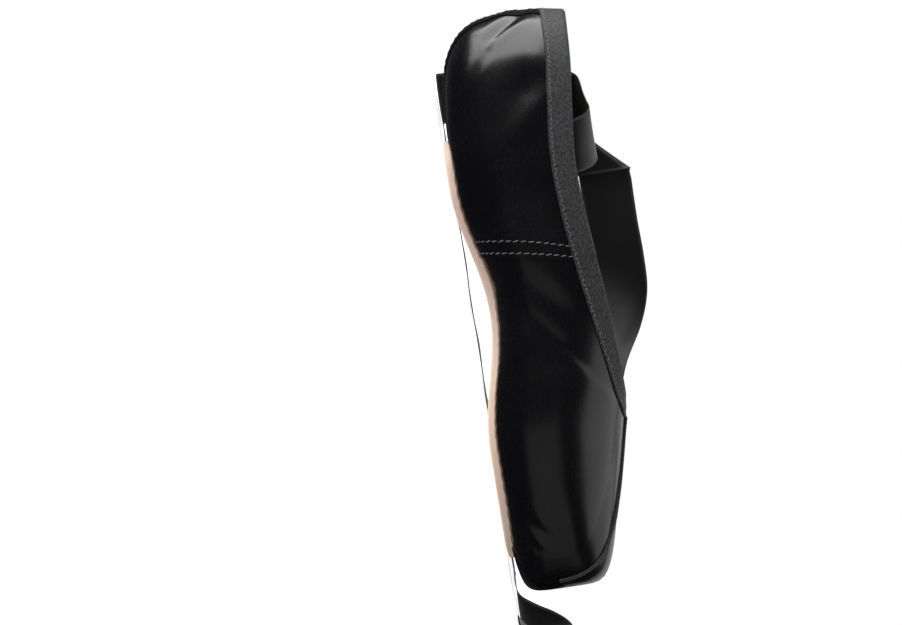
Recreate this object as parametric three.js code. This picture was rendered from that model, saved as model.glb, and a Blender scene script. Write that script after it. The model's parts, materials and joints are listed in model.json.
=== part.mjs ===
// A satin pointe shoe standing empty on its sole, in millimetres.
// The toe points towards +X, the wearer's left is +Y and the floor is z = 0.
// Both sides are alike, so the shoe serves either foot.
import * as THREE from "three";

// Driving sizes
const LENGTH = 240;
const WALL = 1.8;
const SOLE_THICK = 3;
const INSOLE_THICK = 1.6;
const CLEARANCE = 0.3;

// Underside of the sole: flat under the forefoot and the heel, arched between them
const FOREFOOT_FLAT = { from: 23, to: 62 };
const HEEL_FLAT = { from: 172, to: 186 };
const ARCH_RISE = 8.5;
const TOE_SPRING = 0.8;
const HEEL_SPRING = 0.8;
const SOLE_ENDS = { toe: 15, heel: 192 };

// How the sole and the insole lie about the feather edge, where the upper turns under
const TURNED_UNDER = 8;
const SOLE_PROUD = 0.8;
const SOLE_BEVEL = 0.8;
const INSOLE_INSET = 3;
const INSOLE_CLEARANCE = 0.5;

// Tape that binds the collar and holds the drawstring
const TAPE_WIDTH = 9;
const TAPE_THICK = 0.7;

// Ties: two ribbons sewn inside the collar, and the two cut ends of the drawstring
const RIBBON_THICK = 0.5;
const DRAWSTRING = 1.4;
const DRAWSTRING_SIDES = 8;
const DRAWSTRING_STEP = 3.5;

// Facets: a section about every STEP round the shoe, and the steps up each section.
// A bend of one radian takes as many steps as a straight of TURN_WEIGHT.
const STEP = 5;
const LOW_STEPS = 5;
const TOP_STEPS = 7;
const TURN_WEIGHT = 20;
const ROUNDING = 1e-9;

// One row for each section of the upper, from the toe centre round one side to the heel centre.
// "At" is the distance back from the toe platform, "Half" the distance from the centre line and
// "High" the height over the floor. The feather edge lies on the sole, under is the rise from there
// to the foot of the wall, wide is the widest line, shoulder is where the wall leaves the vertical
// and collar is the top edge. Low and top say how square the two curves are, 2 being an ellipse.
const COLUMNS = [
  "edgeAt", "edgeHalf", "under", "wideAt", "wideHalf", "wideHigh", "shoulderHigh",
  "collarAt", "collarHalf", "collarHigh", "lowSquare", "topSquare",
];
const SECTIONS = {
  toeCentre: [15.8, 0, 1.8, 0, 0, 23, 41.5, 74, 0, 58.8, 6, 8],
  platform: [16, 7.2, 1.8, 0.3, 13, 23, 41, 74.4, 4.6, 58.8, 6, 8],
  platformCorner: [18, 14.2, 1.6, 2.4, 24.2, 22.5, 39, 75.8, 9.4, 58.7, 4, 5],
  boxSide: [25, 20.2, 0.8, 13, 31, 21.5, 37, 78.8, 14, 58.6, 2.8, 3.4],
  wing: [40, 25.5, 0.4, 37, 37.6, 20.5, 37, 84.5, 18.8, 58.3, 2.3, 2.7],
  ball: [60, 29, 0, 64, 41, 20, 37, 95, 23.2, 57.7, 2.1, 2.4],
  behindBall: [86, 24.8, 0, 92, 38.8, 22, 38, 110, 26.4, 56.6, 2, 2.2],
  waist: [118, 15.8, 0, 120, 36.2, 26, 39, 129, 28.4, 54.8, 2, 2],
  seam: [146, 17, 0, 148, 35.3, 27, 38, 151, 29, 52.5, 2.1, 2],
  quarter: [168, 19.6, 0, 176, 33.6, 27.5, 38, 174, 28.4, 51.6, 2.2, 2],
  heelSide: [181, 16.9, 0, 203, 29, 28.5, 41, 198, 26, 54, 2.4, 2],
  heelTurn: [187.3, 11, 0, 223.5, 24, 29.5, 43, 217.5, 21.4, 56.4, 2.6, 2],
  heelCorner: [189.9, 5.4, 0, 235.6, 14, 30, 44, 232, 12.4, 57.3, 2.6, 2],
  heelCentre: [190.8, 0, 0, LENGTH, 0, 30, 44, 238.2, 0, 57.5, 2.6, 2],
};

const sections = Object.values(SECTIONS).map((row) =>
  Object.fromEntries(row.map((value, column) => [COLUMNS[column], value])));
const forward = (at) => LENGTH / 2 - at;

// Height of the sole's underside at a distance back from the toe
function underside(at) {
  if (at < FOREFOOT_FLAT.from) {
    const part = (FOREFOOT_FLAT.from - at) / (FOREFOOT_FLAT.from - SOLE_ENDS.toe);
    return TOE_SPRING * part ** 2;
  }
  if (at > HEEL_FLAT.to) {
    const part = (at - HEEL_FLAT.to) / (SOLE_ENDS.heel - HEEL_FLAT.to);
    return HEEL_SPRING * part ** 2;
  }
  if (at < FOREFOOT_FLAT.to || at > HEEL_FLAT.from) return 0;
  const part = (at - FOREFOOT_FLAT.to) / (HEEL_FLAT.from - FOREFOOT_FLAT.to);
  return ARCH_RISE * Math.sin(Math.PI * part) ** 2;
}

// A closed loop through one point of every section, down one side and back up the other
function loopThrough(pointOf) {
  const near = sections.map(pointOf);
  const far = near.slice(1, -1).reverse().map((point) => point.clone().setY(-point.y));
  return new THREE.CatmullRomCurve3([...near, ...far], true, "centripetal");
}

const edgeLoop = loopThrough((row) => new THREE.Vector3(forward(row.edgeAt), -row.edgeHalf, 0));
const wideLoop = loopThrough((row) => new THREE.Vector3(forward(row.wideAt), -row.wideHalf, row.wideHigh));
const collarLoop = loopThrough(
  (row) => new THREE.Vector3(forward(row.collarAt), -row.collarHalf, row.collarHigh));
const riseLoop = loopThrough((row) => new THREE.Vector3(row.under, 0, row.shoulderHigh));
const squareLoop = loopThrough((row) => new THREE.Vector3(row.lowSquare, 0, row.topSquare));

// Places of the sections round the loops, spaced evenly along the widest line
function placesRound() {
  const spans = 2 * (sections.length - 1);
  const places = [];
  for (let span = 0; span < spans; span += 1) {
    const start = wideLoop.getPoint(span / spans);
    const end = wideLoop.getPoint((span + 1) / spans);
    const steps = Math.max(2, Math.round(start.distanceTo(end) / STEP));
    for (let step = 0; step < steps; step += 1) places.push((span + step / steps) / spans);
  }
  return places;
}

// Points on the curve that leaves "start" towards "corner" and reaches "end" from there
function cornerCurve(start, corner, end, square) {
  const samples = 120;
  return Array.from({ length: samples + 1 }, (_, sample) => {
    const turn = (sample / samples) * (Math.PI / 2);
    const out = Math.sin(turn) ** (2 / square);
    const along = 1 - Math.cos(turn) ** (2 / square);
    const point = start.clone().addScaledVector(corner.clone().sub(start), out);
    return point.addScaledVector(end.clone().sub(corner), along);
  });
}

// Points along a dense line, closer together where it bends, that stop short of its end by "keep"
function stepsAlong(line, steps, keep = 0) {
  const lengths = [0];
  const measures = [0];
  for (let i = 1; i < line.length; i += 1) {
    const behind = line[i].clone().sub(line[i - 1]);
    const ahead = i + 1 < line.length ? line[i + 1].clone().sub(line[i]) : behind;
    lengths.push(lengths[i - 1] + behind.length());
    measures.push(measures[i - 1] + behind.length() + TURN_WEIGHT * behind.angleTo(ahead));
  }
  const stop = lengths.at(-1) - keep;
  const last = lengths.findIndex((length) => length >= stop - ROUNDING);
  const short = (stop - lengths[last - 1]) / (lengths[last] - lengths[last - 1]);
  const whole = THREE.MathUtils.lerp(measures[last - 1], measures[last], short);
  return Array.from({ length: steps }, (_, step) => {
    const measure = (whole * (step + 1)) / steps;
    const i = Math.max(1, measures.findIndex((value) => value >= measure - ROUNDING));
    const part = (measure - measures[i - 1]) / (measures[i] - measures[i - 1]);
    return line[i - 1].clone().lerp(line[i], part);
  });
}

// One section of the outer skin, from the turned-under edge to the lower edge of the tape and the collar
function sectionAt(place) {
  const edge = edgeLoop.getPoint(place);
  const wide = wideLoop.getPoint(place);
  const collar = collarLoop.getPoint(place);
  const rise = riseLoop.getPoint(place);
  const square = squareLoop.getPoint(place);
  edge.z = underside(LENGTH / 2 - edge.x) + SOLE_THICK + CLEARANCE;
  const inward = edge.clone().sub(wide).setZ(0).normalize();
  const turned = edge.clone().addScaledVector(inward, TURNED_UNDER);
  turned.z = underside(LENGTH / 2 - turned.x) + SOLE_THICK + CLEARANCE;
  const foot = wide.clone().setZ(edge.z + rise.x);
  const shoulder = wide.clone().setZ(rise.z);
  const low = stepsAlong(cornerCurve(edge, foot, wide, square.x), LOW_STEPS);
  const top = stepsAlong(cornerCurve(wide, shoulder, collar, square.z), TOP_STEPS, TAPE_WIDTH);
  return [turned, edge, ...low, ...top, collar];
}

const places = placesRound();
const skin = places.map(sectionAt);
const around = skin.length;
const collarRow = skin[0].length - 1;

// Outward direction at each point of the outer skin
function outwardAt(i, j) {
  const alongLoop = skin[(i + 1) % around][j].clone().sub(skin[(i + around - 1) % around][j]);
  const upSection = skin[i][Math.min(j + 1, collarRow)].clone().sub(skin[i][Math.max(j - 1, 0)]);
  return upSection.cross(alongLoop).normalize();
}
const outward = skin.map((section, i) => section.map((_, j) => outwardAt(i, j)));
const lining = skin.map((section, i) =>
  section.map((point, j) => point.clone().addScaledVector(outward[i][j], -WALL)));

// A closed mesh from indexed points, with its faces turned outwards
function closedMesh(points, triangles) {
  let volume = 0;
  for (const [a, b, c] of triangles) {
    volume += points[a].dot(points[b].clone().cross(points[c])) / 6;
  }
  const facing = volume < 0 ? triangles.map(([a, b, c]) => [a, c, b]) : triangles;
  const geometry = new THREE.BufferGeometry().setFromPoints(points);
  geometry.setIndex(facing.flat());
  geometry.computeVertexNormals();
  return geometry;
}

const quad = (a, b, c, d) => [[a, b, c], [a, c, d]];

// A closed ring swept from closed outlines, one outline for each place round the shoe
function ring(outlines) {
  const count = outlines[0].length;
  const triangles = [];
  for (let i = 0; i < outlines.length; i += 1) {
    const next = (i + 1) % outlines.length;
    for (let j = 0; j < count; j += 1) {
      const k = (j + 1) % count;
      triangles.push(...quad(i * count + j, i * count + k, next * count + k, next * count + j));
    }
  }
  return closedMesh(outlines.flat(), triangles);
}

// A closed plate from loops that run from its upper rim to its lower rim, closed by straight rungs
function plate(loops) {
  const triangles = [];
  const at = (loop, i) => loop * around + (i % around);
  for (let loop = 0; loop + 1 < loops.length; loop += 1) {
    for (let i = 0; i < around; i += 1) {
      triangles.push(...quad(at(loop, i), at(loop, i + 1), at(loop + 1, i + 1), at(loop + 1, i)));
    }
  }
  const rungs = (loop, flip) => {
    for (let i = 0; i < around / 2; i += 1) {
      const facets = quad(at(loop, i), at(loop, i + 1), at(loop, around - i - 1), at(loop, around - i));
      const solid = facets.filter((facet) => new Set(facet).size === 3);
      triangles.push(...solid.map(([a, b, c]) => (flip ? [a, c, b] : [a, b, c])));
    }
  };
  rungs(0, true);
  rungs(loops.length - 1, false);
  return closedMesh(loops.flat(), triangles);
}

// The feather edge moved outwards in plan, at a height over the sole's underside
function edgeMoved(outset, height) {
  return places.map((place) => {
    const tangent = edgeLoop.getTangent(place);
    const point = edgeLoop.getPoint(place);
    point.x -= tangent.y * outset;
    point.y += tangent.x * outset;
    point.z = underside(LENGTH / 2 - point.x) + height;
    return point;
  });
}

function outsoleShape() {
  return plate([
    edgeMoved(SOLE_PROUD, SOLE_THICK),
    edgeMoved(SOLE_PROUD, SOLE_BEVEL),
    edgeMoved(SOLE_PROUD - SOLE_BEVEL, 0),
  ]);
}

function insoleShape() {
  const bed = SOLE_THICK + CLEARANCE + WALL + INSOLE_CLEARANCE;
  return plate([edgeMoved(-INSOLE_INSET, bed + INSOLE_THICK), edgeMoved(-INSOLE_INSET, bed)]);
}

function upperShape() {
  return ring(skin.map((section, i) => [...section, ...lining[i].toReversed()]));
}

// The tape folds over the collar, with a leg on the satin and a leg on the lining
function collarTapeShape() {
  const tapeRow = collarRow - 1;
  const inner = CLEARANCE;
  const outer = CLEARANCE + TAPE_THICK;
  return ring(skin.map((section, i) => {
    const up = section[collarRow].clone().sub(section[tapeRow]).normalize();
    const off = (points, row, distance, rise) =>
      points[i][row].clone().addScaledVector(outward[i][row], distance).addScaledVector(up, rise);
    const crest = section[collarRow].clone().lerp(lining[i][collarRow], 0.5).addScaledVector(up, outer);
    return [
      off(skin, tapeRow, outer, 0),
      off(skin, collarRow, outer, inner),
      crest,
      off(lining, collarRow, -outer, inner),
      off(lining, tapeRow, -outer, 0),
      off(lining, tapeRow, -inner, 0),
      off(lining, collarRow, -inner, inner),
      off(skin, collarRow, inner, inner),
      off(skin, tapeRow, inner, 0),
    ];
  }));
}

// Ribbon routes, a row for each fold or bend from the sewn end to the cut end. The first three numbers
// are the middle of the ribbon, the other three reach from there to its edge. The left ribbon rises
// inside the collar, folds over aslant, runs forward on the collar, falls off it and trails round the toe.
const RIBBON_LEFT = [
  [-60, 28, 37, 11, 0.8, 0], [-60, 26.8, 43, 11, 0.8, 0], [-60, 24.6, 49.5, 11, 0.8, 0.6],
  [-60, 23.6, 55.5, 11, 0.4, 4], [-60, 23.6, 61, 11, 0, 8], [-60, 23.6, 64.4, 11, 0, 10.4],
  [-60, 25.1, 65.8, 11, 0, 10.9], [-58.6, 26.7, 65.9, 10.4, 0, 10.7], [-53, 26.9, 66, 8, 0.4, 10.9],
  [-41, 27.6, 65.8, 3.5, 1, 11], [-27, 28.4, 66, 0, 2, 10.8], [-12, 29.6, 66.8, 0, 3.4, 10.4],
  [4, 32, 67, 0, 5.8, 9.2], [18, 36.4, 65.2, 0.6, 8.8, 6.4], [31, 41.5, 60.5, 2.5, 10.3, 2.4],
  [43, 46.5, 52, 4.6, 8.4, 5.2], [54, 50.5, 40, 7.5, 2.5, 7.7], [64, 54, 27, 8, -1, 7.5],
  [73, 58, 14.5, 8, -4.5, 6], [82, 63.5, 6, 7.2, -7.6, 3.2], [93, 70.5, 1.5, 6.2, -9, 0.4],
  [104.5, 74, 0.8, 2.6, -10.7, 0], [116, 72.6, 0.8, -2.6, -10.7, 0], [126.5, 66, 0.8, -6.4, -8.9, 0],
  [134, 56, 1.6, -8.9, -6.4, 0.6], [138.4, 44, 4.2, -9.7, -3.4, 3.4], [140.4, 31, 7.8, -8.2, -1, 7],
  [140.4, 18, 10.3, -5.2, 0.4, 9.5], [138.8, 5, 11.4, -2, 0.6, 10.7], [136.8, -8, 11.4, 0, 0, 10.7],
  [135.4, -21, 11, 2.4, 0.2, 10.3], [135, -34, 9, 5.8, 0.4, 8.2], [135.4, -47, 5.8, 9.6, 0.6, 5],
  [136.4, -60, 2.2, 10.8, 1, 1.2],
];
// The right ribbon crosses the opening behind the left one, falls over the far side and lies along it
const RIBBON_RIGHT = [
  [-60, -28, 37, 11, -0.8, 0], [-60, -26.8, 43, 11, -0.8, 0], [-60, -24.6, 49.5, 11, -0.8, 0],
  [-60.4, -23, 55.5, 11, -0.2, 0], [-62, -19.6, 60, 10.9, 0.8, 0], [-64.5, -13.5, 62.4, 10.6, 2.8, 0],
  [-68.5, -4.5, 62.4, 10, 4.4, 0], [-73, 5, 61.6, 10, 4.6, -0.2], [-77.6, 15, 60.4, 10.3, 3.8, -0.6],
  [-81.6, 24.8, 58.2, 10.7, 2.4, -1.2], [-84.6, 31, 53.8, 10.8, 2, -1], [-86.8, 34.6, 45, 10.9, 1.6, -0.4],
  [-88.6, 36.4, 33, 10.9, 1.2, 0], [-90, 38, 20, 11, 0.8, 0], [-91.2, 41.8, 8.5, 11, 0.2, 0],
  [-92.2, 49, 2.2, 11, -0.4, 0], [-92, 60, 0.8, 11, -0.8, 0], [-88.5, 71, 0.8, 10, -4.6, 0],
  [-81, 79.5, 0.8, 7.2, -8.3, 0], [-70, 84.5, 0.8, 3.8, -10.3, 0], [-57, 86.2, 0.8, 0.4, -11, 0],
  [-44, 84.6, 0.8, -2.4, -10.7, 0], [-31, 80.8, 0.8, -3.3, -10.5, 0], [-18, 76.8, 0.8, -2.8, -10.6, 0],
  [-5, 74, 0.8, -1.6, -10.9, 0], [8.5, 73.4, 0.8, 0.6, -11, 0], [22, 75.6, 0.8, 2.8, -10.6, 0],
  [34.5, 80.5, 0.8, 4.9, -9.8, 0], [46, 87.5, 0.8, 6.2, -9.1, 0], [57, 95.2, 0.8, 6, -9.2, 0],
  [68.5, 102, 0.8, 5, -9.8, 0], [81, 107, 0.8, 3.4, -10.5, 0], [94, 110, 0.8, 1.8, -10.8, 0],
  [107, 111.5, 0.8, 0.8, -11, 0], [120, 112, 0.8, 0, -11, 0],
];

// Drawstring routes from the front of the tape over the vamp and down its sides
const DRAWSTRING_RIGHT = [
  [56.1, -2, 57.6], [61, -3, 56.3], [68, -5, 54.6], [75, -7.6, 52.8], [82, -10.6, 50.9],
  [89, -13.8, 48.7], [95.5, -17, 46.5], [101.5, -20, 43.7], [106.5, -22.9, 41], [110.8, -25.3, 37],
  [114, -27.4, 31.5], [115.6, -28, 25.5], [116, -28.2, 20],
];
const DRAWSTRING_LEFT = [
  [56.1, 2, 57.6], [60.5, 4.5, 56.4], [65.5, 8.5, 54.9], [70, 13, 53.2], [74, 18, 51],
  [77.5, 23, 47.7], [80.5, 27.5, 44], [83, 31.4, 39.5], [85, 34.8, 34.2], [86.2, 37, 28.2],
  [86.8, 37.8, 22], [87, 37.5, 16],
];

// A flat strip with square edges through the rows of a ribbon route
function ribbonShape(route) {
  const middles = route.map(([x, y, z]) => new THREE.Vector3(x, y, z));
  const points = route.flatMap(([, , , dx, dy, dz], i) => {
    const half = new THREE.Vector3(dx, dy, dz);
    const ahead = middles[Math.min(i + 1, route.length - 1)].clone().sub(middles[Math.max(i - 1, 0)]);
    const face = ahead.cross(half).setLength(RIBBON_THICK / 2);
    const corners = [[1, 1], [1, -1], [-1, -1], [-1, 1]];
    return corners.map(([side, level]) =>
      middles[i].clone().addScaledVector(half, side).addScaledVector(face, level));
  });
  const triangles = [...quad(0, 1, 2, 3)];
  for (let row = 0; row + 1 < route.length; row += 1) {
    const here = 4 * row;
    const ahead = here + 4;
    for (const [from, to] of [[0, 1], [1, 2], [2, 3]]) {
      triangles.push(...quad(here + to, here + from, ahead + from, ahead + to));
    }
    // The upper face is split along the same diagonal as the lower one, so a twist keeps its thickness
    triangles.push(...quad(here + 3, ahead + 3, ahead, here));
  }
  const last = points.length - 4;
  triangles.push(...quad(last + 3, last + 2, last + 1, last));
  return closedMesh(points, triangles);
}

function drawstringShape(route) {
  const path = new THREE.CatmullRomCurve3(route.map(([x, y, z]) => new THREE.Vector3(x, y, z)));
  const section = new THREE.Shape(Array.from({ length: DRAWSTRING_SIDES }, (_, side) => {
    const turn = (2 * Math.PI * side) / DRAWSTRING_SIDES;
    return new THREE.Vector2(Math.cos(turn), Math.sin(turn)).multiplyScalar(DRAWSTRING / 2);
  }));
  const steps = Math.round(path.getLength() / DRAWSTRING_STEP);
  return new THREE.ExtrudeGeometry(section, { steps, extrudePath: path, bevelEnabled: false });
}

const shoe = new THREE.Group();

function addPiece(name, geometry, color, roughness) {
  const piece = new THREE.Mesh(geometry, new THREE.MeshStandardMaterial({ color, roughness, metalness: 0 }));
  piece.name = name;
  shoe.add(piece);
}

addPiece("upper", upperShape(), 0x08080b, 0.35);
addPiece("outsole", outsoleShape(), 0xeed2c0, 0.6);
addPiece("insole", insoleShape(), 0xcdb89c, 0.8);
addPiece("collar_tape", collarTapeShape(), 0x1b1b1d, 0.85);
addPiece("ribbon_left", ribbonShape(RIBBON_LEFT), 0x0b0b0d, 0.4);
addPiece("ribbon_right", ribbonShape(RIBBON_RIGHT), 0x0b0b0d, 0.4);
addPiece("drawstring_left", drawstringShape(DRAWSTRING_LEFT), 0x0d0d0e, 0.8);
addPiece("drawstring_right", drawstringShape(DRAWSTRING_RIGHT), 0x0d0d0e, 0.8);

export default shoe;
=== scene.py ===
import json
import math

import bpy
import numpy as np
from mathutils import Matrix, Vector

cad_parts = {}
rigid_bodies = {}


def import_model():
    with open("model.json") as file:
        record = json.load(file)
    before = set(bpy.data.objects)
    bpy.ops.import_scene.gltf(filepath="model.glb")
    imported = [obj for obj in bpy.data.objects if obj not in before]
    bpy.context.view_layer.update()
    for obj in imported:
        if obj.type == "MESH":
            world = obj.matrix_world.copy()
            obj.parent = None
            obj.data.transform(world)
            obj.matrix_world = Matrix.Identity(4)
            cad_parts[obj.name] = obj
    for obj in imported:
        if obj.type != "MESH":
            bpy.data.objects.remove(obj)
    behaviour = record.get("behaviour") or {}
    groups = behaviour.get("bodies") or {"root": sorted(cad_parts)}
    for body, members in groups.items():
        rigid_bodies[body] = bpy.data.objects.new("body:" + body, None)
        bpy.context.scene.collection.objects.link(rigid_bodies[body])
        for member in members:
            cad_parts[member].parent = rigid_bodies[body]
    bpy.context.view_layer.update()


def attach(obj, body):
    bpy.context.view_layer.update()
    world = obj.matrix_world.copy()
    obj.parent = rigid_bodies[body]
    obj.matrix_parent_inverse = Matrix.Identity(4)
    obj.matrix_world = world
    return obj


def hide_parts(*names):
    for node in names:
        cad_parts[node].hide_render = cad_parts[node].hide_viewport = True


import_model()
bpy.ops.object.select_all(action="DESELECT")

# The last: the wooden foot form that the shoe is made on. It gives the satin its shape.
# Sections run from the toe centre round one side to the heel centre, and the other side mirrors them.
# All shapes are worked out in millimetres, and a mesh is laid in metres.
MM = 0.001
LENGTH = 240.0
WALL = 1.8
SOLE_THICK = 3.0
CLEARANCE = 0.3
ARCH_RISE = 8.5
END_SPRING = 0.8
FOREFOOT_FLAT = (23.0, 62.0)
HEEL_FLAT = (172.0, 186.0)
SOLE_ENDS = (15.0, 192.0)
TURNED_UNDER = 8.0
SECTION_COLUMNS = (
    "edge_at", "edge_half", "under", "wide_at", "wide_half", "wide_high", "shoulder_high",
    "collar_at", "collar_half", "collar_high", "low_square", "top_square",
)
SECTIONS = {
    "toe_centre": (15.8, 0, 1.8, 0, 0, 23, 41.5, 74, 0, 58.8, 6, 8),
    "platform": (16, 7.2, 1.8, 0.3, 13, 23, 41, 74.4, 4.6, 58.8, 6, 8),
    "platform_corner": (18, 14.2, 1.6, 2.4, 24.2, 22.5, 39, 75.8, 9.4, 58.7, 4, 5),
    "box_side": (25, 20.2, 0.8, 13, 31, 21.5, 37, 78.8, 14, 58.6, 2.8, 3.4),
    "wing": (40, 25.5, 0.4, 37, 37.6, 20.5, 37, 84.5, 18.8, 58.3, 2.3, 2.7),
    "ball": (60, 29, 0, 64, 41, 20, 37, 95, 23.2, 57.7, 2.1, 2.4),
    "behind_ball": (86, 24.8, 0, 92, 38.8, 22, 38, 110, 26.4, 56.6, 2, 2.2),
    "waist": (118, 15.8, 0, 120, 36.2, 26, 39, 129, 28.4, 54.8, 2, 2),
    "seam": (146, 17, 0, 148, 35.3, 27, 38, 151, 29, 52.5, 2.1, 2),
    "quarter": (168, 19.6, 0, 176, 33.6, 27.5, 38, 174, 28.4, 51.6, 2.2, 2),
    "heel_side": (181, 16.9, 0, 203, 29, 28.5, 41, 198, 26, 54, 2.4, 2),
    "heel_turn": (187.3, 11, 0, 223.5, 24, 29.5, 43, 217.5, 21.4, 56.4, 2.6, 2),
    "heel_corner": (189.9, 5.4, 0, 235.6, 14, 30, 44, 232, 12.4, 57.3, 2.6, 2),
    "heel_centre": (190.8, 0, 0, LENGTH, 0, 30, 44, 238.2, 0, 57.5, 2.6, 2),
}
column = dict(zip(SECTION_COLUMNS, np.array(list(SECTIONS.values()), float).T))
ROWS = list(SECTIONS)
SPANS = 2 * (len(ROWS) - 1)


def underside(at):
    """Height of the sole's underside at a distance back from the toe platform."""
    at = np.asarray(at, float)
    toe = np.clip((FOREFOOT_FLAT[0] - at) / (FOREFOOT_FLAT[0] - SOLE_ENDS[0]), 0, None)
    heel = np.clip((at - HEEL_FLAT[1]) / (SOLE_ENDS[1] - HEEL_FLAT[1]), 0, None)
    arch = np.clip((at - FOREFOOT_FLAT[1]) / (HEEL_FLAT[0] - FOREFOOT_FLAT[1]), 0, 1)
    return END_SPRING * (toe**2 + heel**2) + ARCH_RISE * np.sin(np.pi * arch) ** 2


def closed_curve(points, places):
    """Centripetal Catmull-Rom curve through a closed row of points, at places from 0 to 1."""
    count = len(points)
    span, part = np.divmod((np.asarray(places, float) % 1.0) * count, 1.0)
    p0, p1, p2, p3 = (points[(span.astype(int) + k) % count] for k in (-1, 0, 1, 2))
    d0, d1, d2 = (np.linalg.norm(b - a, axis=1)[:, None] ** 0.5 for a, b in ((p0, p1), (p1, p2), (p2, p3)))
    d1 = np.where(d1 < 1e-4, 1.0, d1)
    d0 = np.where(d0 < 1e-4, d1, d0)
    d2 = np.where(d2 < 1e-4, d1, d2)
    leave = ((p1 - p0) / d0 - (p2 - p0) / (d0 + d1) + (p2 - p1) / d1) * d1
    reach = ((p2 - p1) / d1 - (p3 - p1) / (d1 + d2) + (p3 - p2) / d2) * d1
    w = part[:, None]
    square = 3 * (p2 - p1) - 2 * leave - reach
    cube = 2 * (p1 - p2) + leave + reach
    return p1 + leave * w + square * w**2 + cube * w**3


def loop_round(x, y, z, places):
    """A loop through one point of every section, down one side of the shoe and back up the other."""
    near = np.column_stack([x, y, z])
    return closed_curve(np.vstack([near, near[-2:0:-1] * [1, -1, 1]]), places)


def feather_edge(places):
    """The line where the upper turns under the shoe, in plan."""
    return loop_round(LENGTH / 2 - column["edge_at"], -column["edge_half"], 0 * column["edge_at"], places)


def corner_curve(start, corner, end, square):
    """Curves that leave start towards corner and reach end from there, squarer where square is larger."""
    turn = np.linspace(0, math.pi / 2, 160)[None, :, None]
    power = 2 / square[:, None, None]
    out, along = np.sin(turn) ** power, 1 - np.cos(turn) ** power
    return start[:, None] + (corner - start)[:, None] * out + (end - corner)[:, None] * along


def unit(vectors):
    """The same directions, each with length 1."""
    return vectors / np.linalg.norm(vectors, axis=-1, keepdims=True)


def run_along(points):
    """Distances along rows of points, from the first point of each row."""
    steps = np.linalg.norm(np.diff(points, axis=-2), axis=-1)
    start = np.zeros(steps.shape[:-1] + (1,))
    return np.concatenate([start, np.cumsum(steps, axis=-1)], axis=-1)


def wall_lines(places):
    """The outer wall at each place: its turned-under margin, and a line from feather edge to collar."""
    edge = feather_edge(places)
    zero = 0 * column["wide_at"]
    wide = loop_round(LENGTH / 2 - column["wide_at"], -column["wide_half"], column["wide_high"], places)
    collar_x = LENGTH / 2 - column["collar_at"]
    collar = loop_round(collar_x, -column["collar_half"], column["collar_high"], places)
    rise = loop_round(column["under"], zero, column["shoulder_high"], places)
    square = loop_round(column["low_square"], zero, column["top_square"], places)
    bed = SOLE_THICK + CLEARANCE
    edge[:, 2] = underside(LENGTH / 2 - edge[:, 0]) + bed
    inward = (edge - wide) * [1, 1, 0]
    margin = edge + TURNED_UNDER * unit(inward)
    margin[:, 2] = underside(LENGTH / 2 - margin[:, 0]) + bed
    foot = np.column_stack([wide[:, :2], edge[:, 2] + rise[:, 0]])
    shoulder = np.column_stack([wide[:, :2], rise[:, 2]])
    low = corner_curve(edge, foot, wide, square[:, 0])
    top = corner_curve(wide, shoulder, collar, square[:, 2])
    return margin, np.concatenate([low, top[:, 1:]], axis=1)


# The satin lies on the last in fine steps: PLACES round the shoe and HEIGHTS up the wall
PLACES = SPANS * 60
HEIGHTS = 221
all_places = np.arange(PLACES) / PLACES
all_heights = np.linspace(0, 1, HEIGHTS)
margin_line, lines = wall_lines(all_places)
run = run_along(lines)
wall_reach = run[:, -1]
skin = np.array([
    [np.interp(all_heights * wall_reach[i], run[i], lines[i, :, axis]) for axis in range(3)]
    for i in range(PLACES)
]).transpose(0, 2, 1)


def outward(surface):
    """Unit outward directions of a wall given as places by heights."""
    up = np.gradient(surface, axis=1)
    along = np.roll(surface, -1, axis=0) - np.roll(surface, 1, axis=0)
    return unit(np.cross(up, along))


def soft_step(value, low, high):
    """0 below low, 1 above high and smooth between them."""
    part = np.clip((value - low) / (high - low), 0, 1)
    return part * part * (3 - 2 * part)


# Folds of the satin, as lines on the side view: distance back from the toe and height, with the
# half-width and depth of the trough and the side that it is on (0 for both)
FOLDS = [
    ([(131, 10), (114, 22), (96, 36)], 4.2, 0.90, 0),
    ([(139, 15), (123, 28), (108, 43)], 4.6, 0.45, 0),
    ([(116, 10), (104, 19), (92, 28)], 3.0, 0.40, -1),
    ([(37, 8), (28, 13), (20, 21)], 2.2, 0.60, 0),
    ([(30, 7), (23, 10), (17, 15)], 1.6, 0.45, 0),
    ([(228, 23), (234.0, 33), (239, 44)], 1.9, 1.3, -1),
    ([(214, 14), (222, 19), (229, 26)], 2.6, 0.35, 0),
    ([(207, 50), (198, 40), (184, 29)], 4.5, -0.65, 0),
]
# The stiff box ends at the sides in a wing, whose edge shows through the satin: height, distance back
WING_EDGE = [(12, 125), (27, 110), (37, 97), (47, 84), (57, 71)]
WING_STEP = 0.45
PLEATS = 13
PLEAT_REACH = 0.118
PLEAT_DEEP = 0.9
GATHER_STEP = 5.5
GATHER_DEEP = 0.14
UNEVEN_DEEP = 0.10
HEEL_WAVE = 0.6


def fold_depth(at, high, line):
    """Distance in millimetres from points of the side view to a folded line, and how full it is there."""
    best, full = np.full(at.shape, 1e9), np.zeros(at.shape)
    for number, ((a0, h0), (a1, h1)) in enumerate(zip(line, line[1:])):
        long = (a1 - a0) ** 2 + (h1 - h0) ** 2
        part = np.clip(((at - a0) * (a1 - a0) + (high - h0) * (h1 - h0)) / long, 0, 1)
        away = np.hypot(at - a0 - part * (a1 - a0), high - h0 - part * (h1 - h0))
        full = np.where(away < best, np.sin(math.pi * (number + part) / (len(line) - 1)) ** 0.7, full)
        best = np.minimum(best, away)
    return best, full


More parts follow.
